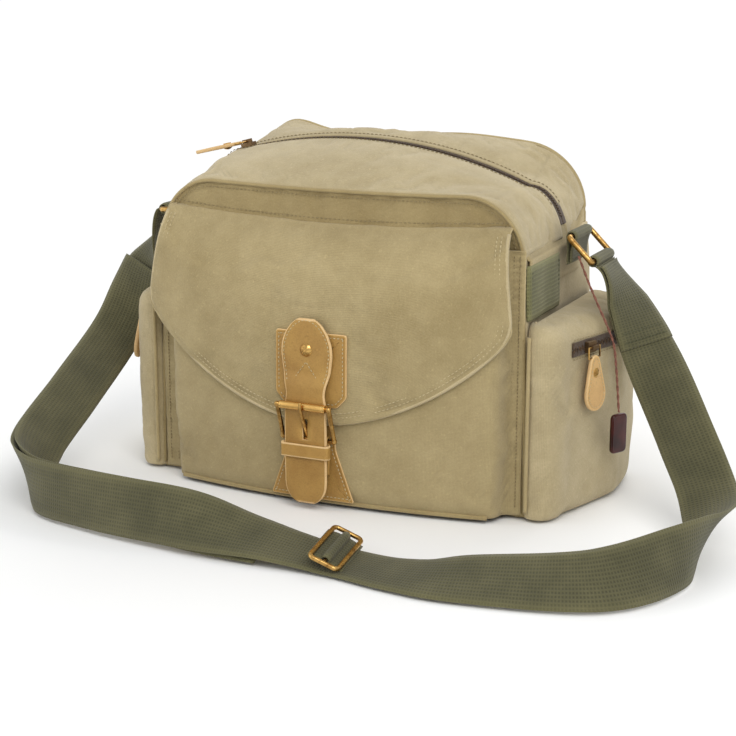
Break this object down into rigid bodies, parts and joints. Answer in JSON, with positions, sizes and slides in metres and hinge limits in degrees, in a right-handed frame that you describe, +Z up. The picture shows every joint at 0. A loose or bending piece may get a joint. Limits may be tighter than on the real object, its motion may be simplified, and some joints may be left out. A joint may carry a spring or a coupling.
{
  "type": "messenger bag",
  "caption": "Canvas messenger bag with front flap, leather buckle closure, zipped top, side pockets and a webbing shoulder strap on brass rings.",
  "frame": {"origin": "centre of the bag's base, on the ground", "axes": "+Z up, the front flap faces -Y, +X to the right seen from the front"},
  "size_m": [0.5041, 0.3015, 0.235],
  "materials": {
    "canvas": "woven washed cotton canvas",
    "padding": "brushed lining over foam",
    "webbing": "ribbed cotton webbing",
    "leather": "oiled full grain",
    "pale_leather": "natural veg tan",
    "antique_brass": "antique brass",
    "dark_brass": "darkened brass",
    "zip_tape": "nylon coil on woven tape",
    "cord": "twisted cord",
    "tag_gloss": "polished"
  },
  "bodies": {
    "bag": {"front_panel": "canvas", "back_panel": "canvas", "base_panel": "canvas", "side_panel_left": "canvas", "side_panel_right": "canvas", "top_corner_left": "canvas", "top_corner_right": "canvas", "front_piping": "canvas", "back_piping": "canvas", "foam_front": "padding", "foam_back": "padding", "foam_sides": "padding", "foam_base": "padding", "front_pocket_face": "canvas", "front_pocket_gusset": "canvas", "pocket_patch": "leather", "snap_stud": "antique_brass", "side_pocket_left": "canvas", "side_pocket_right": "canvas", "side_zip_left": "zip_tape", "side_zip_right": "zip_tape", "web_band_left": "webbing", "web_band_right": "webbing", "zip_end_tape": "zip_tape", "zip_end_tab": "leather", "flap_seam_strip": "canvas"},
    "divider": {"divider": "padding"},
    "front_leaf": {"top_front_leaf": "canvas", "zip_tape_front": "zip_tape"},
    "back_leaf": {"top_back_leaf": "canvas", "zip_tape_back": "zip_tape"},
    "main_slider": {"main_slider": "dark_brass"},
    "main_pull": {"main_pull": "pale_leather", "pull_rivets_main": "antique_brass"},
    "side_slider_left": {"side_slider_left": "dark_brass"},
    "side_pull_left": {"side_pull_left": "pale_leather", "pull_rivet_left": "antique_brass"},
    "side_slider_right": {"side_slider_right": "dark_brass"},
    "side_pull_right": {"side_pull_right": "pale_leather", "pull_rivet_right": "antique_brass"},
    "flap": {"flap_panel": "canvas", "flap_patch": "leather", "closure_strap": "leather", "closure_rivet": "antique_brass", "buckle_frame": "antique_brass", "keeper_loop": "leather", "chape": "leather", "snap_socket": "antique_brass"},
    "roller": {"buckle_roller": "antique_brass"},
    "prong": {"buckle_prong": "antique_brass"},
    "strap": {"shoulder_strap": "webbing", "strap_return": "webbing", "ring_left": "antique_brass", "ring_right": "antique_brass", "ring_tab_left": "webbing", "ring_tab_right": "webbing"},
    "adjuster": {"strap_slider": "antique_brass", "strap_sewn_end": "webbing"},
    "tag_line": {"tag_cord": "cord"},
    "tag": {"hang_tag": "tag_gloss"}
  },
  "joints": [
    {"name": "flap_hinge", "type": "hinge", "parent": "bag", "child": "flap", "pos_m": [0, -0.074, 0.188], "axis": [-1, 0, 0], "range_deg": [0, 120]},
    {"name": "front_leaf_open", "type": "hinge", "parent": "bag", "child": "front_leaf", "pos_m": [0, -0.0646, 0.211], "axis": [1, 0, 0], "range_deg": [0, 75]},
    {"name": "back_leaf_open", "type": "hinge", "parent": "bag", "child": "back_leaf", "pos_m": [0, 0.0522, 0.2298], "axis": [-1, 0, 0], "range_deg": [0, 75]},
    {"name": "main_zip_travel", "type": "hinge", "parent": "bag", "child": "main_slider", "pos_m": [-0.022, 0.006, -0.105], "axis": [0, 1, 0], "range_deg": [0, 35.27]},
    {"name": "main_pull_flip", "type": "hinge", "parent": "main_slider", "child": "main_pull", "pos_m": [-0.10804, 0.006, 0.22822], "axis": [0, 1, 0], "range_deg": [0, 150]},
    {"name": "side_zip_left", "type": "slide", "parent": "bag", "child": "side_slider_left", "axis": [-0.2756, 0.9613, 0], "range_m": [-0.012, 0.022]},
    {"name": "side_pull_left", "type": "hinge", "parent": "side_slider_left", "child": "side_pull_left", "pos_m": [-0.17152, -0.03925, 0.113], "axis": [-0.2756, 0.9613, 0], "range_deg": [0, 110]},
    {"name": "side_zip_right", "type": "slide", "parent": "bag", "child": "side_slider_right", "axis": [0.2756, 0.9613, 0], "range_m": [-0.012, 0.016], "deforming": ["tag_cord"]},
    {"name": "side_pull_right", "type": "hinge", "parent": "side_slider_right", "child": "side_pull_right", "pos_m": [0.17152, -0.03925, 0.113], "axis": [-0.2756, -0.9613, 0], "range_deg": [0, 110]},
    {"name": "roller_spin", "type": "hinge", "parent": "flap", "child": "roller", "pos_m": [-0.002, -0.1169, 0.072], "axis": [1, 0, 0], "continuous": true},
    {"name": "prong_lift", "type": "hinge", "parent": "flap", "child": "prong", "pos_m": [-0.002, -0.1086, 0.048], "axis": [1, 0, 0], "range_deg": [0, 35]},
    {"name": "strap_swing", "type": "hinge", "parent": "bag", "child": "strap", "pos_m": [0, 0.003, 0.172], "axis": [-1, 0, 0], "range_deg": [0, 150]},
    {"name": "adjuster_slide", "type": "slide", "parent": "strap", "child": "adjuster", "axis": [0.9911, -0.119, 0.0599], "range_m": [0, 0.045]},
    {"name": "tag_hang", "type": "hinge", "parent": "strap", "child": "tag_line", "pos_m": [0.1535, -0.0189, 0.172], "axis": [-1, 0, 0], "range_deg": [-150, 0]},
    {"name": "tag_swing", "type": "hinge", "parent": "tag_line", "child": "tag", "pos_m": [0.1845, -0.0216, 0.064], "axis": [1, 0, 0], "range_deg": [-25, 25]},
    {"name": "divider_shift", "type": "slide", "parent": "bag", "child": "divider", "axis": [1, 0, 0], "range_m": [-0.045, 0.045]}
  ],
  "couplings": [
    {"joint": "tag_hang", "follows": "strap_swing", "ratio": -1}
  ]
}
